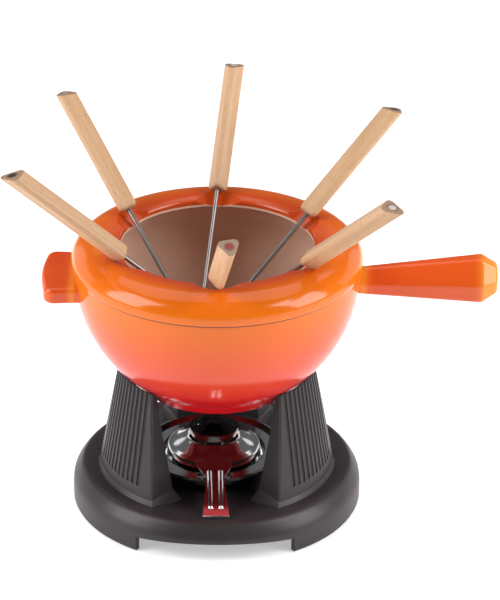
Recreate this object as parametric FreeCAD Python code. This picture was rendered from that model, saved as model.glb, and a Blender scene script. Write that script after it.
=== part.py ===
import FreeCAD, Part
import math
import os

from FreeCAD import Matrix, Vector

# Fondue pot set: a cast iron stand with three fluted pillars, a spirit burner in its middle, an enamelled
# pot with a long handle and a lug, a splash ring on the pot's rim, and six forks leaning in its notches.
# Millimetres. The origin is on the table, under the pot's centre. +Z is up, +X runs along the long handle.

UP = Vector(0, 0, 1)
GAP = 0.3                    # air between two bodies that rest on each other

# pot
BOWL_Z = 195.4               # height of the bowl's centre
BOWL_R = 109.0
WALL = 4.6
RIM_Z = 198.7
POT_FLOOR_Z = 106.0          # inside floor
POT_BASE_Z = 100.0
FOOT_R = 59.0
FOOT_TOP_R = 67.0
BASE_RECESS = 1.5
FLOOR_BLEND = 20.0

# long handle
HANDLE_ROOT_X = 100.0
HANDLE_ROOT_Z = 185.2
HANDLE_FACE_X = 200.8        # where the end bevel starts
HANDLE_FACE_Z = 188.4
HANDLE_END_X = 213.2
HANDLE_ROOT_H = 9.3          # half height of the section
HANDLE_FACE_H = 17.3
HANDLE_BEVEL = 7.0
HANDLE_ROUND = 5.2

# lug
LUG_END_X = 133.6
LUG_HALF_W = 35.7
LUG_Z = (179.0, 191.6)
LUG_CORNER_R = 8.0

# splash ring
RING_SEAT_R = 110.0
RING_MAX_R = 110.8
RING_TOP_Z = 219.0
RING_CREST_R = 90.0
RING_MOUTH_R = 74.0
RING_WALL = 4.6
SPIGOT_R = (99.4, 103.4)
SPIGOT_Z = 190.5
NOTCH_COUNT = 6
NOTCH_START = 30.0
NOTCH_FLOOR_Z = 211.4        # height of the notch floor at the mouth
NOTCH_END_R = 88.0
NOTCH_SCOOP_R = 30.0
NOTCH_ROUND = 1.0

# stand
SKIRT_R = 111.8
SHOULDER_R = 99.0
SHOULDER_Z = 30.0
VALLEY_R = 92.0
VALLEY_Z = 29.6
PLATE_R = 60.0
PLATE_Z = 23.0
PLATE_T = 5.0
SKIRT_T = 5.0
SKIRT_GAP_HALF = 32.8        # degrees, half the width of each gap in the skirt
SKIRT_GAP_Z = (12.0, 16.0)   # height of each gap at its sides and in its middle
PILLAR_ANGLES = (90.0, 210.0, 330.0)
PILLAR_BOTTOM_Z = 24.0
PILLAR_BOTTOM_R = 92.3       # outside, where the pillar stands in the base
PILLAR_TOP_Z = 116.0
PILLAR_TOP_R = 77.1
PLINTH_H = 11.0
PLINTH_OUT = 3.6             # how far the plinth stands out at its bottom
RIB_X = (92.6, 98.0)         # the ends of a short rib on each side of the base
RIB_Y = 12.0
RIB_ROUND = 0.8
FLUTE_COUNT = 11
FLUTE_STEP = 3.62            # degrees
FLUTE_R = 1.75
FLUTE_PROUD = 0.1            # how far a flute's centre line stands off the pillar's face
FLUTE_BOTTOM_Z = 43.0

# burner, centred a little off the pot's axis
BURNER_X = -2.3
SHEET = 1.2
DISH_R = 54.0
DISH_RIM_Z = 40.0
WELL_R = 39.6
CUP_R = 32.0
CUP_TOP_Z = 41.0
COVER_R = 35.8
COVER_EDGE_Z = 37.8
COVER_SHOULDER_Z = 43.0
NECK_R = 19.0
NECK_TOP_Z = 58.0
PORT_COUNT = 6
PORT_Z = 52.2
LEVER_END_Y = -97.0
LEVER_TURN = 1.7             # degrees that the lever points off -Y
LEVER_T = 1.4
LIP_H = 2.3
LEVER_LINE = ((-33.5, 44.8), (-46.0, 43.6), (-60.0, 42.6), (-78.0, 38.8), (LEVER_END_Y, 33.0))
LEVER_HALF_W = ((-33.5, 14.2), (-40.0, 13.0), (-53.0, 7.6), (-60.0, 7.0), (LEVER_END_Y, 10.0))
RIB_R = 2.0

# forks: the handle's lower end, the direction outwards along the fork, the turn of the handle's section,
# and the turn of the prongs' plane, which keeps them clear of the neighbouring forks
FORK_HANDLE_L = 107.6
FORK_END_SLANT = 35.0        # degrees that the handle's end is turned towards its upper side
FORK_ROD_L = 138.0
FORK_ROD_R = 1.7
PRONG_L = 22.0
PRONG_SPREAD = 3.4
PRONG_R = 0.8
FORKS = (
    ((-69.8, -40.4, 223.0), (-0.747, -0.110, 0.656), 54.0, 0.0),
    ((-68.5, 42.0, 223.2), (-0.473, 0.604, 0.641), 58.0, 20.0),
    ((-1.1, 80.4, 222.9), (0.113, 0.733, 0.671), 90.0, 40.0),
    ((68.2, 38.4, 222.0), (0.623, 0.493, 0.606), 2.0, 0.0),
    ((67.2, -50.5, 224.2), (0.556, -0.512, 0.654), 12.0, 0.0),
    ((1.7, -84.0, 225.0), (0.078, -0.777, 0.624), 22.0, 120.0),
)
SECTION_CORNER = 4.8         # from the handle's axis to the centre of each rounded corner
SECTION_ROUND = 3.3


def polar(radius, degrees, z=0.0):
    angle = math.radians(degrees)
    return Vector(radius * math.cos(angle), radius * math.sin(angle), z)


def turned(shape, degrees, centre=Vector(0, 0, 0)):
    copy = shape.copy()
    copy.rotate(centre, UP, degrees)
    return copy


def moved(shape, x, y, z):
    copy = shape.copy()
    copy.translate(Vector(x, y, z))
    return copy


def line(a, b):
    return Part.LineSegment(Vector(a[0], 0, a[1]), Vector(b[0], 0, b[1])).toShape()


def spline(points, tangents=None):
    curve = Part.BSplineCurve()
    vectors = [Vector(r, 0, z) for r, z in points]
    if tangents:
        start, end = (Vector(t[0], 0, t[1]) for t in tangents)
        curve.interpolate(Points=vectors, InitialTangent=start, FinalTangent=end)
    else:
        curve.interpolate(vectors)
    return curve.toShape()


def path(points):
    return [line(a, b) for a, b in zip(points[:-1], points[1:])]


def revolved(edges):
    """A solid turned about the Z axis from a closed outline of (radius, z) edges."""
    return Part.Face(Part.Wire(edges)).revolve(Vector(0, 0, 0), UP, 360)


def turned_outline(points):
    return revolved(path(list(points) + [points[0]]))


def loft(wires):
    return Part.makeLoft(wires, True, True)


def round_edges(solid, radius, wanted):
    edges = [edge for edge in solid.Edges if wanted(edge)]
    return solid.makeFillet(radius, edges)


def bowl_radius(z, radius):
    return math.sqrt(radius ** 2 - (z - BOWL_Z) ** 2)


def bowl_z(r, radius):
    return BOWL_Z - math.sqrt(radius ** 2 - r ** 2)


# ---------------------------------------------------------------- pot

def bowl_blank():
    crease_z = bowl_z(FOOT_TOP_R, BOWL_R)
    rim_r = bowl_radius(RIM_Z, BOWL_R)
    side = Part.Arc(
        Vector(FOOT_TOP_R, 0, crease_z),
        Vector(bowl_radius(150, BOWL_R), 0, 150),
        Vector(rim_r, 0, RIM_Z),
    ).toShape()
    recess_z = POT_BASE_Z + BASE_RECESS
    foot = path([
        (0, recess_z),
        (FOOT_R - 8, recess_z),
        (FOOT_R - 7, POT_BASE_Z),
        (FOOT_R, POT_BASE_Z),
        (FOOT_TOP_R, crease_z),
    ])
    top = path([(rim_r, RIM_Z), (0, RIM_Z), (0, recess_z)])
    return revolved(foot + [side] + top)


def bowl_hollow():
    ball = Part.makeSphere(BOWL_R - WALL, Vector(0, 0, BOWL_Z))
    space = Part.makeCylinder(BOWL_R, 200, Vector(0, 0, POT_FLOOR_Z))
    hollow = ball.common(space)

    def floor_edge(edge):
        box = edge.BoundBox
        return box.ZMax < POT_FLOOR_Z + 0.1 and box.ZLength < 0.1

    return round_edges(hollow, FLOOR_BLEND, floor_edge)


def six_sided(x, middle_z, half_height):
    """The long handle's section: flat top and bottom, and two facets each side that meet at the middle."""
    h = half_height
    corners = [(0.38 * h, h), (1.02 * h, -0.04 * h), (0.68 * h, -h)]
    points = corners + [(-y, z) for y, z in reversed(corners)]
    vectors = [Vector(x, y, middle_z + z) for y, z in points]
    return Part.makePolygon(vectors + [vectors[0]])


def long_handle():
    face = six_sided(HANDLE_FACE_X, HANDLE_FACE_Z, HANDLE_FACE_H)
    end = six_sided(HANDLE_END_X, HANDLE_FACE_Z, HANDLE_FACE_H - HANDLE_BEVEL)
    grip = loft([six_sided(HANDLE_ROOT_X, HANDLE_ROOT_Z, HANDLE_ROOT_H), face])
    grip = grip.fuse(loft([face, end])).removeSplitter()
    return round_edges(grip, HANDLE_ROUND, lambda edge: edge.BoundBox.XMax > HANDLE_ROOT_X + 1)


def lug():
    """A flat tab whose outer edge is a shallow arc."""
    low, high = LUG_Z
    corner_x = -LUG_END_X + 4.4
    root = Vector(-92, LUG_HALF_W - 3, low), Vector(-92, -LUG_HALF_W + 3, low)
    outer = Vector(corner_x, LUG_HALF_W, low), Vector(corner_x, -LUG_HALF_W, low)
    edges = [
        Part.LineSegment(root[1], root[0]).toShape(),
        Part.LineSegment(root[0], outer[0]).toShape(),
        Part.Arc(outer[0], Vector(-LUG_END_X, 0, low), outer[1]).toShape(),
        Part.LineSegment(outer[1], root[1]).toShape(),
    ]
    tab = Part.Face(Part.Wire(edges)).extrude(Vector(0, 0, high - low))

    def outer_corner(edge):
        box = edge.BoundBox
        return box.ZLength > high - low - 0.1 and box.XMax < corner_x + 0.1

    def rim(edge):
        box = edge.BoundBox
        return box.ZLength < 0.1 and box.XMin < -93

    return round_edges(round_edges(tab, LUG_CORNER_R, outer_corner), 3.4, rim)


def pot():
    body = bowl_blank().fuse([long_handle(), lug()])
    body = body.cut(bowl_hollow())
    return body.removeSplitter()


# ---------------------------------------------------------------- splash ring

def ring_blank():
    outside = spline([
        (RING_SEAT_R, RIM_Z + GAP),
        (RING_MAX_R, RIM_Z + 3.4),
        (110.6, RIM_Z + 7.2),
        (108.4, RIM_Z + 12.0),
        (103.6, RIM_Z + 16.4),
        (97.4, RIM_Z + 19.2),
        (RING_CREST_R, RING_TOP_Z),
        (82.0, RING_TOP_Z - 0.3),
        (RING_MOUTH_R + 2.6, RING_TOP_Z - 1.3),
    ])
    lip = Part.Arc(
        Vector(RING_MOUTH_R + 2.6, 0, RING_TOP_Z - 1.3),
        Vector(RING_MOUTH_R + 0.55, 0, RING_TOP_Z - 2.35),
        Vector(RING_MOUTH_R, 0, RING_TOP_Z - 4.2),
    ).toShape()
    inside_z = RING_TOP_Z - RING_WALL
    inside = path([
        (RING_MOUTH_R, RING_TOP_Z - 4.2),
        (RING_MOUTH_R, RING_TOP_Z - 7.4),
        (RING_MOUTH_R + 0.8, RING_TOP_Z - 8.0),
        (RING_MOUTH_R + 4.0, RING_TOP_Z - 8.0),
    ])
    ceiling = spline([
        (RING_MOUTH_R + 4.0, RING_TOP_Z - 8.0),
        (82.0, RING_TOP_Z - 6.4),
        (RING_CREST_R, inside_z),
        (97.0, RIM_Z + 13.2),
        (SPIGOT_R[0], RIM_Z + 11.0),
    ])
    spigot = path([
        (SPIGOT_R[0], RIM_Z + 11.0),
        (SPIGOT_R[0], SPIGOT_Z),
        (SPIGOT_R[1], SPIGOT_Z),
        (SPIGOT_R[1], RIM_Z + GAP),
        (RING_SEAT_R, RIM_Z + GAP),
    ])
    return revolved([outside, lip] + inside + [ceiling] + spigot)


def scoop():
    """A cylinder along +X whose lowest line rises from the mouth to the crest."""
    slope = math.atan2(RING_TOP_Z + 0.2 - NOTCH_FLOOR_Z, NOTCH_END_R - RING_MOUTH_R)
    along = Vector(math.cos(slope), 0, math.sin(slope))
    square = Vector(-math.sin(slope), 0, math.cos(slope))
    start = Vector(RING_MOUTH_R, 0, NOTCH_FLOOR_Z) - along * 30 + square * NOTCH_SCOOP_R
    return Part.makeCylinder(NOTCH_SCOOP_R, 90, start, along)


def splash_ring():
    ring = ring_blank()
    tools = [
        turned(scoop(), NOTCH_START + 360.0 / NOTCH_COUNT * k)
        for k in range(NOTCH_COUNT)
    ]
    ring = ring.cut(tools)

    def notch_edge(edge):
        box = edge.BoundBox
        return box.ZMin > RING_TOP_Z - 4 and edge.Length > 36 and edge.Curve.TypeId == "Part::GeomBSplineCurve"

    return round_edges(ring, NOTCH_ROUND, notch_edge)


# ---------------------------------------------------------------- stand

def base_shell():
    shoulder = spline(
        [(SKIRT_R, 10), (SKIRT_R - 1.0, 19.5), (SKIRT_R - 5.2, 26.6), (SHOULDER_R, SHOULDER_Z)],
        ((0, 1), (-1, 0)),
    )
    hump = spline(
        [(SHOULDER_R, SHOULDER_Z), (VALLEY_R, VALLEY_Z), (PLATE_R, PLATE_Z)],
        ((-1, 0), (-1, -0.05)),
    )
    inner_r = SKIRT_R - SKIRT_T
    under = path([
        (PLATE_R, PLATE_Z),
        (0, PLATE_Z),
        (0, PLATE_Z - PLATE_T),
        (PLATE_R, PLATE_Z - PLATE_T),
        (VALLEY_R, VALLEY_Z - PLATE_T),
        (SHOULDER_R, SHOULDER_Z - PLATE_T),
        (inner_r, 17),
        (inner_r, 0),
        (SKIRT_R - 0.8, 0),
        (SKIRT_R, 1.5),
        (SKIRT_R, 10),
    ])
    return revolved([shoulder, hump] + under)


def skirt_gap():
    """One raised arch in the skirt, facing -Y."""
    reach = 2 * SKIRT_R
    half = math.radians(SKIRT_GAP_HALF)
    corner = Vector(reach * math.sin(half), -reach * math.cos(half), -1)
    mirror = Vector(-corner.x, corner.y, corner.z)
    centre = Vector(0, 0, -1)
    sector = Part.Face(Part.makePolygon([centre, corner, mirror, centre]))
    sector = sector.extrude(Vector(0, 0, 30))
    side_z, middle_z = SKIRT_GAP_Z
    half_chord = SKIRT_R * math.sin(half)
    sagitta = middle_z - side_z
    arch_r = (half_chord ** 2 + sagitta ** 2) / (2 * sagitta)
    arch = Part.makeCylinder(arch_r, reach, Vector(0, 0, middle_z - arch_r), Vector(0, -1, 0))
    keep_inside = Part.makeCylinder(SKIRT_R - SKIRT_T - 6, 60, Vector(0, 0, -5))
    return sector.common(arch).cut(keep_inside)


def pillar_radius(z):
    share = (z - PILLAR_BOTTOM_Z) / (PILLAR_TOP_Z - PILLAR_BOTTOM_Z)
    return PILLAR_BOTTOM_R + (PILLAR_TOP_R - PILLAR_BOTTOM_R) * share


def pillar_half_width(along, z):
    """Half the pillar's width, at a distance from the axis and a height: both sides are flat planes."""
    return 12.3 + 0.433 * along - 0.1365 * z


def pillar():
    """One pillar on the +X side: part of a tapered ring between two flat leaning sides."""
    shell = turned_outline([
        (PILLAR_BOTTOM_R, PILLAR_BOTTOM_Z),
        (PILLAR_TOP_R, PILLAR_TOP_Z),
        (71.4, PILLAR_TOP_Z),
        (70.9, 90.0),
        (64.6, PILLAR_BOTTOM_Z),
    ])

    def section(z):
        near, far = 45.0, 115.0
        a, b = pillar_half_width(near, z), pillar_half_width(far, z)
        points = [Vector(near, -a, z), Vector(far, -b, z), Vector(far, b, z), Vector(near, a, z)]
        return Part.makePolygon(points + [points[0]])

    wedge = loft([section(PILLAR_BOTTOM_Z - 2), section(PILLAR_TOP_Z + 2)])
    block = shell.common(wedge)

    def outer_corner(edge):
        box = edge.BoundBox
        return abs(edge.Vertexes[0].Point.y) > 20 and box.XMin > 64 and box.ZLength > 50

    block = round_edges(block, 1.6, outer_corner)
    return block.cut([flute(k) for k in range(FLUTE_COUNT)])


def plinth():
    """The sloping foot round the bottom of one pillar."""
    low_z, high_z = PILLAR_BOTTOM_Z - 1, PILLAR_BOTTOM_Z + PLINTH_H
    outer_high = pillar_radius(high_z) - 0.5
    shell = turned_outline([
        (PILLAR_BOTTOM_R + PLINTH_OUT, low_z),
        (outer_high, high_z),
        (66.2, high_z),
        (64.6 - PLINTH_OUT, low_z),
    ])
    sections = []
    for z, extra in ((low_z, PLINTH_OUT), (high_z, -0.5)):
        near, far = 45.0, 115.0
        a, b = pillar_half_width(near, z) + extra, pillar_half_width(far, z) + extra
        points = [Vector(near, -a, z), Vector(far, -b, z), Vector(far, b, z), Vector(near, a, z)]
        sections.append(Part.makePolygon(points + [points[0]]))
    return shell.common(loft(sections))


def base_rib(side):
    """A short raised line on the base's shoulder."""
    low_end = Vector(side * RIB_X[0], RIB_Y, VALLEY_Z + 0.1)
    length = RIB_X[1] - RIB_X[0]
    rod = Part.makeCylinder(RIB_ROUND, length, low_end, Vector(side, 0, 0))
    ends = [Part.makeSphere(RIB_ROUND, low_end + Vector(side * x, 0, 0)) for x in (0, length)]
    return rod.fuse(ends)


def flute(k):
    angle = (k - (FLUTE_COUNT - 1) / 2) * FLUTE_STEP
    low = polar(pillar_radius(FLUTE_BOTTOM_Z) + FLUTE_PROUD, angle, FLUTE_BOTTOM_Z)
    high = polar(pillar_radius(100.0) + FLUTE_PROUD, angle, 100.0)
    along = (high - low).normalize()
    rod = Part.makeCylinder(FLUTE_R, 95, low, along)
    return rod.fuse(Part.makeSphere(FLUTE_R, low))


def stand():
    base = base_shell()
    base = base.cut([turned(skirt_gap(), 120.0 * k) for k in range(3)])
    one = pillar()
    foot = plinth()
    frame = base.fuse([turned(part, angle) for angle in PILLAR_ANGLES for part in (one, foot)])
    frame = frame.fuse([base_rib(side) for side in (-1, 1)])
    seat = Part.makeSphere(BOWL_R + GAP, Vector(0, 0, BOWL_Z))
    return frame.cut(seat).removeSplitter()


# ---------------------------------------------------------------- burner

def at_burner(shape):
    return moved(shape, BURNER_X, 0, 0)


def drip_dish():
    """A wide shallow flange round a well that the fuel cup stands in."""
    floor_z = PLATE_Z + GAP
    flange_z = DISH_RIM_Z - 2.6
    return at_burner(turned_outline([
        (0, floor_z),
        (WELL_R - 3, floor_z),
        (WELL_R, floor_z + 3),
        (WELL_R, flange_z - SHEET + 0.4),
        (DISH_R - 5, flange_z - SHEET),
        (DISH_R, DISH_RIM_Z - 2.2),
        (DISH_R, DISH_RIM_Z),
        (DISH_R - SHEET, DISH_RIM_Z),
        (DISH_R - 5.6, flange_z),
        (WELL_R + 0.6, flange_z + 0.4),
        (WELL_R - SHEET, flange_z - 0.6),
        (WELL_R - SHEET, floor_z + 3.4),
        (WELL_R - 3.4, floor_z + SHEET),
        (0, floor_z + SHEET),
    ]))


def fuel_cup():
    floor_z = PLATE_Z + GAP + SHEET + GAP
    return at_burner(turned_outline([
        (0, floor_z),
        (CUP_R - 2, floor_z),
        (CUP_R, floor_z + 2),
        (CUP_R, CUP_TOP_Z - SHEET),
        (CUP_R + 2.2, CUP_TOP_Z - SHEET),
        (CUP_R + 2.2, CUP_TOP_Z),
        (CUP_R - SHEET, CUP_TOP_Z),
        (CUP_R - SHEET, floor_z + 2.4),
        (CUP_R - 2.6, floor_z + SHEET),
        (0, floor_z + SHEET),
    ]))


def wick_pad():
    low = PLATE_Z + 2 * GAP + 2 * SHEET
    pad = Part.makeCylinder(CUP_R - SHEET - 0.4, 11.0, Vector(0, 0, low + 1.6))
    return at_burner(pad)


def wick_gauze():
    low = PLATE_Z + 2 * GAP + 2 * SHEET + 12.6
    return at_burner(Part.makeCylinder(CUP_R - SHEET - GAP, 0.8, Vector(0, 0, low)))


def port_tool(radius, z, half_length, height):
    """Slots round a sleeve: flat bars with rounded ends, from the axis outwards."""
    tools = []
    for k in range(PORT_COUNT):
        bar = Part.makeBox(radius + 9, 2 * half_length, height, Vector(0, -half_length, z - height / 2))
        ends = [
            Part.makeCylinder(height / 2, radius + 9, Vector(0, side * half_length, z), Vector(1, 0, 0))
            for side in (-1, 1)
        ]
        tools.append(turned(bar.fuse(ends), 30.0 + 60.0 * k))
    return tools


def vent_sleeve():
    """The fixed inner sleeve, a lid on the cup with a ported collar."""
    outer = NECK_R - SHEET - GAP
    sleeve = turned_outline([
        (CUP_R + 1.6, CUP_TOP_Z),
        (CUP_R + 1.6, CUP_TOP_Z + 0.9),
        (outer + 1.5, CUP_TOP_Z + 3.4),
        (outer, CUP_TOP_Z + 5.4),
        (outer, NECK_TOP_Z - 0.6),
        (outer - SHEET, NECK_TOP_Z - 0.6),
        (outer - SHEET, CUP_TOP_Z + 4.4),
        (outer + 0.6, CUP_TOP_Z + 2.2),
        (CUP_R - SHEET - 1, CUP_TOP_Z),
    ])
    return at_burner(sleeve.cut(port_tool(outer, PORT_Z, 5.2, 3.0)))


def burner_cover():
    """The cover that turns: a skirt, a dished cone and a ported neck."""
    outside = spline(
        [(COVER_R, COVER_SHOULDER_Z - 1.4), (COVER_R - 2.2, COVER_SHOULDER_Z + 0.6),
         (28.6, 46.0), (21.6, 49.8), (NECK_R, 54.0)],
        ((0, 1), (0, 1)),
    )
    inside = spline(
        [(NECK_R - SHEET, 54.0), (20.5, 49.2), (28.0, 45.0), (COVER_R - 2.6, COVER_SHOULDER_Z - 0.6),
         (COVER_R - SHEET, COVER_SHOULDER_Z - 1.6)],
        ((0, -1), (0, -1)),
    )
    shell = revolved(
        [outside]
        + path([(NECK_R, 54.0), (NECK_R, NECK_TOP_Z), (NECK_R - SHEET, NECK_TOP_Z), (NECK_R - SHEET, 54.0)])
        + [inside]
        + path([
            (COVER_R - SHEET, COVER_SHOULDER_Z - 1.6),
            (COVER_R - SHEET, COVER_EDGE_Z),
            (COVER_R, COVER_EDGE_Z),
            (COVER_R, COVER_SHOULDER_Z - 1.4),
        ])
    )
    return at_burner(shell.cut(port_tool(NECK_R, PORT_Z, 5.2, 2.6)))


def lever():
    """The flat sheet handle: a flared root, a narrow neck, and a blade that widens to its end."""
    upper = [Vector(0, y, z) for y, z in LEVER_LINE]
    lower = [point - Vector(0, 0, LEVER_T) for point in upper]
    curves = [Part.BSplineCurve(), Part.BSplineCurve()]
    for curve, points in zip(curves, (upper, lower)):
        curve.interpolate(points)
    profile = Part.Wire([
        curves[0].toShape(),
        Part.LineSegment(upper[-1], lower[-1]).toShape(),
        curves[1].toShape(),
        Part.LineSegment(lower[0], upper[0]).toShape(),
    ])
    slab = moved(Part.Face(profile).extrude(Vector(40, 0, 0)), -20, 0, 0)
    outline = [Vector(w, y, 20) for y, w in LEVER_HALF_W]
    outline += [Vector(-w, y, 20) for y, w in reversed(LEVER_HALF_W)]
    plan = Part.Face(Part.makePolygon(outline + [outline[0]])).extrude(Vector(0, 0, 40))
    ribs = [lever_rib(side) for side in (-1, 1)]
    half_w = LEVER_HALF_W[-1][1] - 0.4
    lip_z = LEVER_LINE[-1][1] - LIP_H
    lip = Part.makeBox(2 * half_w, LEVER_T, LIP_H, Vector(-half_w, LEVER_END_Y, lip_z))
    handle = slab.common(plan).fuse(ribs + [lip])
    return at_burner(turned(handle, LEVER_TURN))


def lever_rib(side):
    low = Vector(side * 4.3, -48.0, 43.1)
    bend = Vector(side * 4.2, -62.0, 42.1)
    high = Vector(side * 3.9, -88.5, 35.4)
    rods = []
    for a, b in ((low, bend), (bend, high)):
        rods.append(Part.makeCylinder(RIB_R, (b - a).Length, a, b - a))
    balls = [Part.makeSphere(RIB_R, point) for point in (low, bend, high)]
    return rods[0].fuse([rods[1]] + balls)


# ---------------------------------------------------------------- forks

def fork_frame(direction):
    """A matrix that lays local Z along the fork, local X level, and local Y on its upper side."""
    axis = Vector(*direction).normalize()
    level = Vector(axis.y, -axis.x, 0).normalize()
    upper = level.cross(axis)
    if upper.z < 0:
        upper = upper.negative()
        level = level.negative()
    return Matrix(
        level.x, upper.x, axis.x, 0,
        level.y, upper.y, axis.y, 0,
        level.z, upper.z, axis.z, 0,
        0, 0, 0, 1,
    )


def laid(shape, place, direction):
    copy = shape.transformGeometry(Matrix())
    copy.transformShape(fork_frame(direction))
    copy.translate(Vector(*place))
    return copy


def rounded_triangle(z, scale, turn):
    """Three rounded corners joined by straight sides."""
    centre_r = SECTION_CORNER * scale
    corner_r = SECTION_ROUND * scale
    edges = []
    for k in range(3):
        middle = turn + 120.0 * k
        centre = polar(centre_r, middle, z)
        arc = [centre + polar(corner_r, middle + step) for step in (-60, 0, 60)]
        edges.append(Part.Arc(*arc).toShape())
        following = polar(centre_r, middle + 120, z) + polar(corner_r, middle + 60)
        edges.append(Part.LineSegment(arc[2], following).toShape())
    return Part.Wire(edges)


def slanted_end(depth, radius, height):
    """A cylinder square to the handle's slanted end face, that starts at a depth below the face."""
    slant = math.radians(FORK_END_SLANT)
    normal = Vector(0, math.sin(slant), math.cos(slant))
    start = Vector(0, 0, FORK_HANDLE_L) - normal * depth
    return Part.makeCylinder(radius, height, start, normal)


def fork_handle(turn):
    levels = ((0.0, 0.70), (0.5, 0.82), (1.3, 0.91), (2.6, 0.97), (4.5, 1.0), (FORK_HANDLE_L + 14, 1.02))
    body = loft([rounded_triangle(z, scale, turn) for z, scale in levels])
    body = body.cut(slanted_end(0, 40, 40))

    def end_rim(edge):
        box = edge.BoundBox
        return box.ZMin > FORK_HANDLE_L - 12

    body = round_edges(body, 0.7, end_rim)
    socket = Part.makeCylinder(FORK_ROD_R + 0.02, 40, Vector(0, 0, -1))
    return body.cut([socket, slanted_end(2.4, 3.0, 10)])


def fork_plug():
    return slanted_end(2.35, 2.95, 2.3)


def fork_rod(turn):
    """The steel rod from inside the wooden handle down to three prongs side by side."""
    shoulder = -FORK_ROD_L + PRONG_L
    rod = Part.makeCylinder(FORK_ROD_R, 38.5 - shoulder, Vector(0, 0, shoulder))
    web = Part.makeBox(2 * PRONG_SPREAD, 2 * PRONG_R, 3.0, Vector(-PRONG_SPREAD, -PRONG_R, shoulder - 2.5))
    parts = [web]
    straight = PRONG_L - 6.0
    for offset in (-PRONG_SPREAD, 0.0, PRONG_SPREAD):
        parts.append(Part.makeCylinder(PRONG_R, straight, Vector(offset, 0, shoulder - straight)))
        parts.append(Part.makeCone(0.12, PRONG_R, 6.0, Vector(offset, 0, shoulder - PRONG_L)))
    return turned(rod.fuse(parts).removeSplitter(), turn)


def fork_parts():
    made = {}
    for number, (place, direction, section_turn, prong_turn) in enumerate(FORKS, start=1):
        made[f"fork_{number}_rod"] = laid(fork_rod(prong_turn), place, direction)
        made[f"fork_{number}_handle"] = laid(fork_handle(section_turn), place, direction)
        made[f"fork_{number}_plug"] = laid(fork_plug(), place, direction)
    return made


def main():
    os.makedirs("parts", exist_ok=True)
    parts = {
        "pot": pot(),
        "splash_ring": splash_ring(),
        "stand": stand(),
        "drip_dish": drip_dish(),
        "fuel_cup": fuel_cup(),
        "wick_pad": wick_pad(),
        "wick_gauze": wick_gauze(),
        "vent_sleeve": vent_sleeve(),
        "burner_cover": burner_cover(),
        "burner_lever": lever(),
    }
    parts.update(fork_parts())
    for name, shape in parts.items():
        shape.exportStep(f"parts/{name}.step")
        print(name, "solids", len(shape.Solids), "valid", shape.isValid(), "mm3", round(shape.Volume))


main()
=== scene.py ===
import math

import bpy
from mathutils import Matrix, Vector

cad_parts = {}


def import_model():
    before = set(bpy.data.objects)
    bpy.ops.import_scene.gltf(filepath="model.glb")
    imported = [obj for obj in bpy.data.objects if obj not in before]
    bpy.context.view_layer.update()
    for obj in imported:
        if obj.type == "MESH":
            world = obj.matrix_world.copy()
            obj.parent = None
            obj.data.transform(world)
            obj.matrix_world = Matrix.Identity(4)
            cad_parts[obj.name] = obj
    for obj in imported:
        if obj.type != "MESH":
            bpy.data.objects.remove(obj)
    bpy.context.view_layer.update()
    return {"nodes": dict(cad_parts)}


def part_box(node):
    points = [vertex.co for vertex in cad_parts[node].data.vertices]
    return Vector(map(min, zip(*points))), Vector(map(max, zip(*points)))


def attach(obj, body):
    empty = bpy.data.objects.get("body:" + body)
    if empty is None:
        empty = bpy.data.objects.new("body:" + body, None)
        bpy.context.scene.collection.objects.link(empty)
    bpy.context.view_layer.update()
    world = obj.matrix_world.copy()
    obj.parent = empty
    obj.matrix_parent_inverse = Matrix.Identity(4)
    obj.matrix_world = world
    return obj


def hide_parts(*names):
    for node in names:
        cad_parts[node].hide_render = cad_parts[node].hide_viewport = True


# Fondue pot set: looks. Metres, in the same frame as the solid model: +Z up, +X along the long handle.

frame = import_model()

UP = Vector((0, 0, 1))
WORLD_LIGHT = 0.13
BOWL_CENTRE_Z = 0.1954
FORK_AXES = {
    1: ((-0.0698, -0.0404, 0.2230), (-0.747, -0.110, 0.656)),
    2: ((-0.0685, 0.0420, 0.2232), (-0.473, 0.604, 0.641)),
    3: ((-0.0011, 0.0804, 0.2229), (0.113, 0.733, 0.671)),
    4: ((0.0682, 0.0384, 0.2220), (0.623, 0.493, 0.606)),
    5: ((0.0672, -0.0505, 0.2242), (0.556, -0.512, 0.654)),
    6: ((0.0017, -0.0840, 0.2250), (0.078, -0.777, 0.624)),
}
PRONG_TURNS = {1: 0.0, 2: 20.0, 3: 40.0, 4: 0.0, 5: 0.0, 6: 120.0}
PRONG_SHAPE = (              # distance from the prongs' start, share of the spread, radius
    (0.0, 0.15, 0.0008),
    (0.0015, 0.40, 0.0008),
    (0.0030, 0.80, 0.0008),
    (0.0045, 0.98, 0.0008),
    (0.0060, 1.00, 0.0008),
    (0.0190, 1.00, 0.0008),
    (0.0220, 1.00, 0.0006),
    (0.0249, 1.00, 0.00014),
)
PRONG_L = 0.022
PRONG_OVERLAP = 0.003        # the prongs start this far up inside the rod
PRONG_SPREAD = 0.0034
FORK_ROD_L = 0.138
FORK_ROD_R = 0.0017
GAUZE_PITCH = 0.0024
GAUZE_WIRE_R = 0.0002
FORK_HANDLE_L = 0.1076
FORK_END_SLANT = 35.0
BURNER_X = -0.0023
FOOT_Z = 0.100               # the height where the flame colours start
FLAME_RISE = 0.119           # and how far up they go
FLOOR_HALF_SIZE = 3.0
FLOOR_GLOW = 0.42            # keeps the pale floor white round the set
BACKDROP_LIGHT = 1.1
CAMERA_DOWN = 26.378
CAMERA_ROLL = 0.437
CAMERA_DISTANCE = 2.596
CAMERA_AIM = (0.02505, 0, 0.16718)
CAMERA_LENS = 203.9
CAMERA_SENSOR = 36.0


# ---------------------------------------------------------------- shader building

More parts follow.
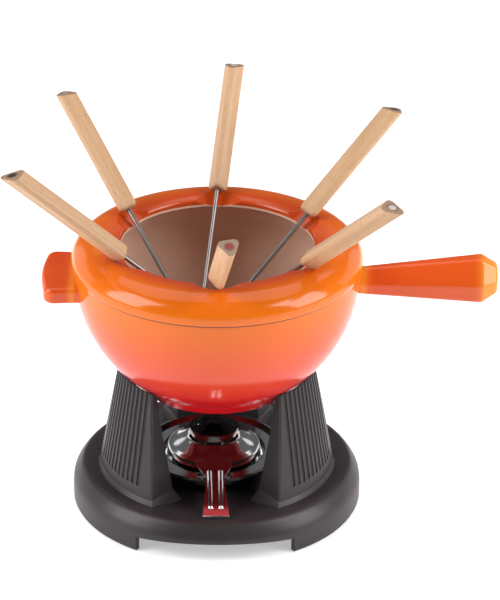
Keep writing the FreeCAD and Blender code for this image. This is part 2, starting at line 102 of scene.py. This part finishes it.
class Nodes:
    """Builds one material's node tree with short calls."""

    def __init__(self, name):
        self.material = bpy.data.materials.new(name)
        self.material.use_nodes = True
        self.tree = self.material.node_tree
        self.tree.nodes.clear()
        self.out = self.add("ShaderNodeOutputMaterial")
        self.shader = self.add("ShaderNodeBsdfPrincipled")
        self.tree.links.new(self.shader.outputs[0], self.out.inputs["Surface"])
        self.place = self.add("ShaderNodeTexCoord").outputs["Object"]

    def add(self, kind, **settings):
        node = self.tree.nodes.new(kind)
        for key, value in settings.items():
            setattr(node, key, value)
        return node

    def feed(self, socket, value):
        if isinstance(value, bpy.types.NodeSocket):
            self.tree.links.new(value, socket)
        elif value is not None:
            socket.default_value = value

    def math(self, operation, a, b=None, c=None, clamp=False):
        node = self.add("ShaderNodeMath", operation=operation, use_clamp=clamp)
        for socket, value in zip(node.inputs, (a, b, c)):
            self.feed(socket, value)
        return node.outputs[0]

    def vector(self, operation, a, b=None):
        node = self.add("ShaderNodeVectorMath", operation=operation)
        self.feed(node.inputs[0], a)
        self.feed(node.inputs[1], b)
        return node.outputs["Value"] if operation in ("DOT_PRODUCT", "LENGTH") else node.outputs["Vector"]

    def split(self, vector):
        node = self.add("ShaderNodeSeparateXYZ")
        self.feed(node.inputs[0], vector)
        return node.outputs

    def join(self, x, y, z):
        node = self.add("ShaderNodeCombineXYZ")
        for socket, value in zip(node.inputs, (x, y, z)):
            self.feed(socket, value)
        return node.outputs[0]

    def step(self, value, low, high):
        """0 below low, 1 above high, smooth between. low may be the larger one."""
        node = self.add("ShaderNodeMapRange", interpolation_type="SMOOTHSTEP")
        self.feed(node.inputs["Value"], value)
        self.feed(node.inputs["From Min"], low)
        self.feed(node.inputs["From Max"], high)
        return node.outputs["Result"]

    def ramp(self, value, stops):
        node = self.add("ShaderNodeValToRGB")
        self.feed(node.inputs[0], value)
        bar = node.color_ramp
        while len(bar.elements) < len(stops):
            bar.elements.new(0.5)
        for element, (position, colour) in zip(bar.elements, stops):
            element.position = position
            element.color = (*colour, 1)
        return node.outputs[0]

    def mix(self, share, a, b, blend="MIX"):
        node = self.add("ShaderNodeMix", data_type="RGBA", blend_type=blend)
        self.feed(node.inputs[0], share)
        for socket, value in ((node.inputs[6], a), (node.inputs[7], b)):
            self.feed(socket, (*value, 1) if isinstance(value, tuple) else value)
        return node.outputs[2]

    def noise(self, scale, detail=3.0, rough=0.5, at=None):
        node = self.add("ShaderNodeTexNoise")
        self.feed(node.inputs["Vector"], at or self.place)
        self.feed(node.inputs["Scale"], scale)
        self.feed(node.inputs["Detail"], detail)
        self.feed(node.inputs["Roughness"], rough)
        return node.outputs["Fac"]

    def bump(self, height, distance, strength=1.0, after=None):
        node = self.add("ShaderNodeBump")
        self.feed(node.inputs["Height"], height)
        node.inputs["Distance"].default_value = distance
        node.inputs["Strength"].default_value = strength
        if after:
            self.feed(node.inputs["Normal"], after)
        return node.outputs[0]

    def set(self, **inputs):
        for key, value in inputs.items():
            name = key.replace("_", " ")
            if isinstance(value, tuple) and len(value) == 3:
                value = (*value, 1)
            self.feed(self.shader.inputs[name], value)
        return self.material


def radius_of(nodes):
    x, y, _ = nodes.split(nodes.place)
    flat = nodes.join(x, y, 0.0)
    return nodes.vector("LENGTH", flat)


# ---------------------------------------------------------------- materials

def flame_colour(n):
    """Red at the foot, coral, then orange at the rim. Painted shade near the ring's mouth, a painted yellow
    highlight at the roots of the handle and the lug and at the handle's end, and painted shade on the
    underside."""
    x, _, z = n.split(n.place)
    cloud = n.math("MULTIPLY_ADD", n.noise(9.0, 2.0), 0.012, -0.006)
    height = n.math("ADD", z, cloud)
    share = n.math("DIVIDE", n.math("SUBTRACT", height, FOOT_Z), FLAME_RISE, clamp=True)
    body = n.ramp(share, [
        (0.00, (0.60, 0.010, 0.014)),
        (0.15, (0.62, 0.012, 0.014)),
        (0.21, (0.70, 0.038, 0.026)),
        (0.50, (0.77, 0.088, 0.019)),
        (0.80, (0.81, 0.162, 0.010)),
        (0.90, (0.79, 0.160, 0.004)),
        (1.00, (0.72, 0.130, 0.004)),
    ])
    # painted shade: the ring's top near the mouth is darkened to a deeper red
    mouth_painted_shade = n.math("MULTIPLY", n.step(radius_of(n), 0.098, 0.080), n.step(z, 0.200, 0.206))
    body = n.mix(mouth_painted_shade, body, (0.56, 0.062, 0.008))
    sides = n.mix(n.step(n.noise(14.0, 2.0), 0.35, 0.7), (0.70, 0.075, 0.008), (0.74, 0.095, 0.010))
    on_handle = n.step(x, 0.1120, 0.1220)
    on_lug = n.step(x, -0.1080, -0.1180)
    body = n.mix(n.math("MAXIMUM", on_handle, on_lug), body, sides)
    # painted highlight: yellow at the handle's root, the handle's end bevel and the lug's root
    painted_highlight = n.math("MULTIPLY", n.step(x, 0.1060, 0.1100), n.step(x, 0.1160, 0.1105))
    painted_highlight = n.math("MAXIMUM", painted_highlight, n.step(x, 0.1940, 0.2060))
    lug_root_highlight = n.math("MULTIPLY", n.step(x, -0.1060, -0.1090), n.step(x, -0.1140, -0.1090))
    painted_highlight = n.math("MAXIMUM", painted_highlight, lug_root_highlight)
    body = n.mix(n.math("MULTIPLY", painted_highlight, 0.8), body, (0.86, 0.300, 0.020))
    # painted shade: downward-facing enamel low on the pot is darkened
    _, _, facing = n.split(n.add("ShaderNodeNewGeometry").outputs["Normal"])
    underside_painted_shade = n.math("MULTIPLY", n.step(facing, -0.85, -0.97), n.step(z, 0.112, 0.108))
    return n.mix(underside_painted_shade, body, (0.24, 0.010, 0.012))


def sand_enamel(n):
    """The satin brown enamel of the pot's inside, with fine pale specks."""
    speck = n.step(n.noise(420.0, 2.0), 0.56, 0.72)
    brown = n.ramp(n.noise(11.0, 3.0), [(0.3, (0.68, 0.450, 0.335)), (0.7, (0.75, 0.510, 0.385))])
    return n.mix(n.math("MULTIPLY", speck, 0.3), brown, (0.84, 0.60, 0.47))


def enamel(name, inside_of, seam_shade_z):
    """seam_shade_z: the height where the painted shade along the seam between ring and pot starts, and the
    height where it is full.
    """
    n = Nodes(name)
    inside = inside_of(n)
    colour = n.mix(inside, flame_colour(n), sand_enamel(n))
    _, _, z = n.split(n.place)
    radius = radius_of(n)
    # painted shade: a near-black band along the seam where the ring sits on the pot
    band = n.math("MULTIPLY", n.step(radius, 0.1055, 0.1065), n.step(radius, 0.1118, 0.1112))
    seam_shade = n.math("MULTIPLY", n.step(z, *seam_shade_z), band)
    colour = n.mix(seam_shade, colour, (0.018, 0.007, 0.004))
    rough = n.math("MULTIPLY_ADD", n.noise(55.0, 4.0), 0.05, 0.12)
    rough = n.math("MULTIPLY_ADD", inside, 0.33, rough)
    waves = n.bump(n.noise(38.0, 1.0), 0.00035, 0.35)
    pits = n.bump(n.noise(900.0, 2.0), 0.00003, 0.5, after=waves)
    return n.set(
        Base_Color=colour, Roughness=rough, Normal=pits,
        Coat_Weight=0.12, Coat_Roughness=0.05, Specular_IOR_Level=0.38,
    )


def inside_pot(n):
    from_centre = n.vector("LENGTH", n.vector("SUBTRACT", n.place, (0, 0, BOWL_CENTRE_Z)))
    _, _, z = n.split(n.place)
    return n.math("MULTIPLY", n.step(from_centre, 0.1072, 0.1060), n.step(z, 0.1035, 0.1050))


def inside_ring(n):
    """The ring's underside and spigot, and the lower part of the wall round its mouth."""
    _, _, z = n.split(n.place)
    radius = radius_of(n)
    below = n.math("MULTIPLY", n.step(radius, 0.1052, 0.1042), n.step(z, 0.2106, 0.2100))
    mouth = n.math("MULTIPLY", n.step(radius, 0.0746, 0.0743), n.step(z, 0.2136, 0.2130))
    return n.math("MAXIMUM", below, mouth)


def cast_iron():
    n = Nodes("cast_iron_black")
    grain = n.noise(1500.0, 3.0, 0.6)
    patch = n.noise(18.0, 4.0, 0.6)
    colour = n.ramp(patch, [(0.25, (0.022, 0.018, 0.019)), (0.75, (0.032, 0.027, 0.029))])
    colour = n.mix(n.math("MULTIPLY", n.step(grain, 0.5, 0.8), 0.5), colour, (0.056, 0.050, 0.052))
    rough = n.math("MULTIPLY_ADD", grain, 0.18, 0.29)
    cast = n.bump(n.noise(240.0, 3.0, 0.55), 0.00022, 0.55)
    fine = n.bump(grain, 0.00007, 0.8, after=cast)
    return n.set(Base_Color=colour, Roughness=rough, Normal=fine, Specular_IOR_Level=0.4)


def polished_steel():
    """Spun steel sheet: fine rings round the burner's axis, and a brown tinge near the flame."""
    n = Nodes("polished_steel")
    x, y, z = n.split(n.vector("SUBTRACT", n.place, (BURNER_X, 0, 0)))
    radius = n.vector("LENGTH", n.join(x, y, 0.0))
    rings_at = n.join(n.math("MULTIPLY", radius, 2600.0), n.math("MULTIPLY", z, 900.0), 0.0)
    rings = n.noise(1.0, 3.0, 0.6, at=rings_at)
    smear = n.noise(26.0, 5.0, 0.6)
    rough = n.math("MULTIPLY_ADD", rings, 0.06, 0.06)
    rough = n.math("MULTIPLY_ADD", smear, 0.05, rough)
    heat = n.step(radius, 0.030, 0.017)
    colour = n.mix(n.math("MULTIPLY", heat, 0.5), (0.76, 0.76, 0.765), (0.62, 0.57, 0.52))
    return n.set(
        Base_Color=colour, Metallic=1.0, Roughness=rough,
        Normal=n.bump(rings, 0.000012, 0.5),
    )


def sleeve_shade_steel():
    """The burner's inner sleeve: steel painted near black, as painted shade inside the burner's neck."""
    n = Nodes("sleeve_shade_steel")
    sleeve_mottle = n.noise(160.0, 4.0, 0.6)
    # painted shade: near-black colour for the dark inside the burner's neck
    colour = n.ramp(sleeve_mottle, [(0.35, (0.010, 0.010, 0.010)), (0.75, (0.050, 0.045, 0.042))])
    return n.set(Base_Color=colour, Metallic=0.3, Roughness=n.math("MULTIPLY_ADD", sleeve_mottle, 0.2, 0.55))


def fork_frame(number):
    """The handle's lower end, and three directions: level, towards the fork's upper side, and along it."""
    start, direction = FORK_AXES[number]
    along = Vector(direction).normalized()
    level = Vector((along.y, -along.x, 0)).normalized()
    upper = level.cross(along)
    if upper.z < 0:
        upper, level = -upper, -level
    return Vector(start), level, upper, along


def along_fork(n, number):
    """Coordinates in metres across, above and along one fork, from the handle's lower end."""
    start, *directions = fork_frame(number)
    local = n.vector("SUBTRACT", n.place, tuple(start))
    return [n.vector("DOT_PRODUCT", local, tuple(v)) for v in directions]


def beech(number):
    n = Nodes(f"beech_{number}")
    across, upper, along = along_fork(n, number)
    shift = 0.37 * number
    grain_at = n.join(
        n.math("MULTIPLY_ADD", across, 210.0, shift),
        n.math("MULTIPLY_ADD", upper, 210.0, shift),
        n.math("MULTIPLY_ADD", along, 14.0, shift),
    )
    grain = n.noise(1.0, 5.0, 0.62, at=grain_at)
    band_at = n.join(
        n.math("MULTIPLY_ADD", across, 60.0, shift),
        n.math("MULTIPLY_ADD", upper, 60.0, shift),
        n.math("MULTIPLY_ADD", along, 5.0, shift),
    )
    band = n.noise(1.0, 2.0, 0.5, at=band_at)
    colour = n.ramp(grain, [
        (0.28, (0.49, 0.270, 0.132)),
        (0.50, (0.60, 0.365, 0.200)),
        (0.75, (0.67, 0.440, 0.265)),
    ])
    colour = n.mix(n.math("MULTIPLY", n.step(band, 0.35, 0.7), 0.35), colour, (0.58, 0.340, 0.190))
    fleck_at = n.join(
        n.math("MULTIPLY", across, 900.0), n.math("MULTIPLY", upper, 900.0), n.math("MULTIPLY", along, 260.0)
    )
    fleck = n.step(n.noise(1.0, 1.0, 0.4, at=fleck_at), 0.64, 0.72)
    colour = n.mix(n.math("MULTIPLY", fleck, 0.5), colour, (0.42, 0.24, 0.13))
    slant = math.radians(FORK_END_SLANT)
    above = n.math(
        "ADD", n.math("MULTIPLY", upper, math.sin(slant)), n.math("MULTIPLY", along, math.cos(slant))
    )
    end = n.step(above, FORK_HANDLE_L * math.cos(slant) - 0.0009, FORK_HANDLE_L * math.cos(slant) - 0.0003)
    radius = n.vector("LENGTH", n.join(across, upper, 0.0))
    rings_at = n.join(n.math("MULTIPLY", across, 1500.0), n.math("MULTIPLY", upper, 500.0), 0.0)
    rings = n.noise(1.0, 2.0, 0.5, at=rings_at)
    end_colour = n.ramp(rings, [(0.3, (0.20, 0.125, 0.080)), (0.7, (0.34, 0.225, 0.150))])
    end_colour = n.mix(n.step(radius, 0.0031, 0.0045), (0.10, 0.06, 0.045), end_colour)
    colour = n.mix(n.math("MULTIPLY", end, 0.85), colour, end_colour)
    foot = n.step(along, 0.0016, -0.0002)
    colour = n.mix(n.math("MULTIPLY", foot, 0.35), colour, (0.45, 0.26, 0.14))
    rough = n.math("MULTIPLY_ADD", grain, 0.15, 0.42)
    return n.set(Base_Color=colour, Roughness=rough, Normal=n.bump(grain, 0.00012, 0.45), Coat_Weight=0.08)


def fork_steel(number):
    n = Nodes(f"fork_steel_{number}")
    _, _, along = along_fork(n, number)
    wear = n.noise(1.0, 3.0, 0.6, at=n.join(n.math("MULTIPLY", along, 120.0), 0.0, 0.0))
    tint = n.mix(wear, (0.24, 0.22, 0.205), (0.31, 0.29, 0.275))
    return n.set(Base_Color=tint, Metallic=1.0, Roughness=n.math("MULTIPLY_ADD", wear, 0.08, 0.34))


def marker(name, colour):
    n = Nodes(name)
    mottle = n.noise(700.0, 2.0)
    shade = n.mix(n.math("MULTIPLY", mottle, 0.35), colour, tuple(0.72 * c for c in colour))
    rough = n.math("MULTIPLY_ADD", mottle, 0.15, 0.28)
    return n.set(Base_Color=shade, Roughness=rough, Normal=n.bump(mottle, 0.00004, 0.5))


def wool():
    n = Nodes("wick_wool")
    fibre = n.noise(1100.0, 5.0, 0.75)
    colour = n.ramp(fibre, [(0.3, (0.32, 0.29, 0.24)), (0.7, (0.62, 0.58, 0.50))])
    return n.set(Base_Color=colour, Roughness=0.95, Normal=n.bump(fibre, 0.0006, 0.8))


def wire():
    n = Nodes("gauze")
    tint = n.noise(300.0, 3.0)
    colour = n.ramp(tint, [(0.3, (0.20, 0.185, 0.17)), (0.7, (0.42, 0.40, 0.38))])
    return n.set(Base_Color=colour, Metallic=1.0, Roughness=n.math("MULTIPLY_ADD", tint, 0.2, 0.3))


MARKERS = {
    1: (0.035, 0.035, 0.022),
    2: (0.50, 0.34, 0.20),
    3: (0.80, 0.76, 0.70),
    4: (0.022, 0.022, 0.018),
    5: (0.58, 0.50, 0.45),
    6: (0.30, 0.018, 0.022),
}


def give(node, material):
    """Puts one material on every face of a carried-over solid."""
    piece = frame["nodes"][node]
    piece.data.materials.clear()
    piece.data.materials.append(material)
    for face in piece.data.polygons:
        face.material_index = 0


def dress_solids():
    give("pot", enamel("enamel", inside_pot, (0.1980, 0.1985)))
    give("splash_ring", enamel("enamel_ring", inside_ring, (0.1997, 0.1992)))
    give("stand", cast_iron())
    steel = polished_steel()
    for node in ("drip_dish", "fuel_cup", "burner_cover", "burner_lever"):
        give(node, steel)
    give("vent_sleeve", sleeve_shade_steel())
    give("wick_pad", wool())
    for number, colour in MARKERS.items():
        give(f"fork_{number}_handle", beech(number))
        give(f"fork_{number}_plug", marker(f"marker_{number}", colour))


# ---------------------------------------------------------------- pieces made here

class Shape:
    """Collects the points and faces of one mesh."""

    def __init__(self):
        self.points, self.faces, self.smooth = [], [], []

    def tube(self, line, radii, across, sides=12):
        """A round bar along a line. across is any direction that isn't along it."""
        first = len(self.points)
        last = len(line) - 1
        for k, (point, radius) in enumerate(zip(line, radii)):
            ahead = (line[min(k + 1, last)] - line[max(k - 1, 0)]).normalized()
            side = across.cross(ahead).normalized()
            top = ahead.cross(side)
            for step in range(sides):
                angle = math.tau * step / sides
                self.points.append(point + radius * (math.cos(angle) * side + math.sin(angle) * top))
        for k in range(last):
            for step in range(sides):
                a, b = first + k * sides + step, first + k * sides + (step + 1) % sides
                self.faces.append((a, b, b + sides, a + sides))
                self.smooth.append(True)
        rim = range(first, first + sides)
        self.faces += [tuple(reversed(rim)), tuple(k + last * sides for k in rim)]
        self.smooth += [False, False]

    def piece(self, name, material, body, slot, node):
        mesh = bpy.data.meshes.new(name)
        mesh.from_pydata(self.points, [], self.faces)
        mesh.polygons.foreach_set("use_smooth", self.smooth)
        mesh.materials.append(material)
        shown = bpy.data.objects.new(name, mesh)
        bpy.context.scene.collection.objects.link(shown)
        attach(shown, body)
        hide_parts(node)


def fork_wire(number, turn):
    """The steel of one fork: the rod, and three prongs that part at its shoulder and end in points."""
    start, level, upper, along = fork_frame(number)
    angle = math.radians(turn)
    plane = level * math.cos(angle) + upper * math.sin(angle)
    across = plane.cross(along)
    shoulder = PRONG_L - FORK_ROD_L
    shape = Shape()
    stations = [0.012, 0.0, shoulder / 2, shoulder + 0.002, shoulder - 0.001]
    radii = [FORK_ROD_R] * 4 + [0.8 * FORK_ROD_R]
    shape.tube([start + along * at for at in stations], radii, plane, sides=20)
    for side in (-1, 0, 1):
        line, thick = [], []
        for at, share, radius in PRONG_SHAPE:
            offset = side * share * PRONG_SPREAD
            line.append(start + along * (shoulder + PRONG_OVERLAP - at) + plane * offset)
            thick.append(radius)
        shape.tube(line, thick, across, sides=12)
    fork = f"fork_{number}"
    shape.piece(f"{fork}_wire", fork_steel(number), fork, "fork_steel", f"{fork}_rod")


def gauze():
    """Woven wire over the wick: wires both ways that pass over and under each other, in a hoop."""
    low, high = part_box("wick_gauze")
    centre = (Vector(low) + Vector(high)) / 2
    reach = (high[0] - low[0]) / 2 - GAUZE_WIRE_R
    shape = Shape()
    count = int(reach / GAUZE_PITCH)
    for k in range(-count, count + 1):
        offset = k * GAUZE_PITCH
        half = math.sqrt(reach ** 2 - offset ** 2)
        steps = max(2, int(2 * half / GAUZE_PITCH * 4))
        for along, across, sign in ((0, 1, 1), (1, 0, -1)):
            line = []
            for step in range(steps + 1):
                place = -half + 2 * half * step / steps
                point = centre.copy()
                point[along] += place
                point[across] += offset
                phase = math.pi * (place / GAUZE_PITCH + k)
                point.z += sign * GAUZE_WIRE_R * math.cos(phase)
                line.append(point)
            shape.tube(line, [GAUZE_WIRE_R] * len(line), UP, sides=5)
    hoop = []
    for step in range(73):
        angle = math.tau * step / 72
        hoop.append(centre + reach * Vector((math.cos(angle), math.sin(angle), 0)))
    shape.tube(hoop, [GAUZE_WIRE_R * 1.3] * len(hoop), UP, sides=6)
    shape.piece("woven_gauze", wire(), "burner", "gauze", "wick_gauze")


# ---------------------------------------------------------------- stage, light and camera

def floor():
    mesh = bpy.data.meshes.new("floor")
    half = FLOOR_HALF_SIZE
    corners = [(-half, -half, 0), (half, -half, 0), (half, half, 0), (-half, half, 0)]
    mesh.from_pydata(corners, [], [(0, 1, 2, 3)])
    piece = bpy.data.objects.new("floor", mesh)
    bpy.context.scene.collection.objects.link(piece)
    n = Nodes("floor")
    n.set(
        Base_Color=(0.90, 0.90, 0.90), Roughness=0.6, Specular_IOR_Level=0.2,
        Emission_Color=(1.0, 1.0, 1.0), Emission_Strength=FLOOR_GLOW,
    )
    mesh.materials.append(n.material)


def world():
    surroundings = bpy.data.worlds.new("studio")
    bpy.context.scene.world = surroundings
    surroundings.use_nodes = True
    tree = surroundings.node_tree
    tree.nodes.clear()
    out = tree.nodes.new("ShaderNodeOutputWorld")
    back = tree.nodes.new("ShaderNodeBackground")
    seen = tree.nodes.new("ShaderNodeBackground")
    mixer = tree.nodes.new("ShaderNodeMixShader")
    rays = tree.nodes.new("ShaderNodeLightPath")
    back.inputs[0].default_value = (0.96, 0.97, 1.0, 1)
    back.inputs[1].default_value = WORLD_LIGHT
    seen.inputs[0].default_value = (1, 1, 1, 1)
    seen.inputs[1].default_value = BACKDROP_LIGHT
    tree.links.new(rays.outputs["Is Camera Ray"], mixer.inputs[0])
    tree.links.new(back.outputs[0], mixer.inputs[1])
    tree.links.new(seen.outputs[0], mixer.inputs[2])
    tree.links.new(mixer.outputs[0], out.inputs[0])


def softbox(name, place, target, width, height, power):
    light = bpy.data.lights.new(name, "AREA")
    light.shape = "RECTANGLE"
    light.size, light.size_y = width, height
    light.energy = power
    piece = bpy.data.objects.new(name, light)
    bpy.context.scene.collection.objects.link(piece)
    piece.location = place
    piece.rotation_euler = (Vector(target) - Vector(place)).to_track_quat("-Z", "Y").to_euler()


def lights():
    middle = (0, 0, 0.15)
    for side in (-1, 1):
        softbox("side", (side * 1.45, -0.40, 1.00), middle, 0.95, 1.6, 29)
        softbox("rear", (side * 1.60, 1.30, 0.60), middle, 1.6, 1.0, 4)
    softbox("top", (0, 0.9, 2.2), middle, 2.6, 1.8, 17)

def camera():
    """A long lens that looks down a little, turned by a fraction of a degree about its own axis."""
    down, roll = math.radians(CAMERA_DOWN), math.radians(CAMERA_ROLL)
    forward = Vector((0, math.cos(down), -math.sin(down)))
    right, up = Vector((1, 0, 0)), Vector((0, math.sin(down), math.cos(down)))
    across = right * math.cos(roll) + up * math.sin(roll)
    upward = up * math.cos(roll) - right * math.sin(roll)
    data = bpy.data.cameras.new("camera")
    data.lens, data.sensor_width = CAMERA_LENS, CAMERA_SENSOR
    data.clip_end = 20
    piece = bpy.data.objects.new("camera", data)
    bpy.context.scene.collection.objects.link(piece)
    turn = Matrix((across, upward, -forward)).transposed().to_4x4()
    piece.matrix_world = Matrix.Translation(Vector(CAMERA_AIM) - forward * CAMERA_DISTANCE) @ turn
    bpy.context.scene.camera = piece


def main():
    dress_solids()
    gauze()
    for number, turn in PRONG_TURNS.items():
        fork_wire(number, turn)
    floor()
    world()
    lights()
    camera()
    bpy.context.scene.view_settings.view_transform = "Standard"


main()
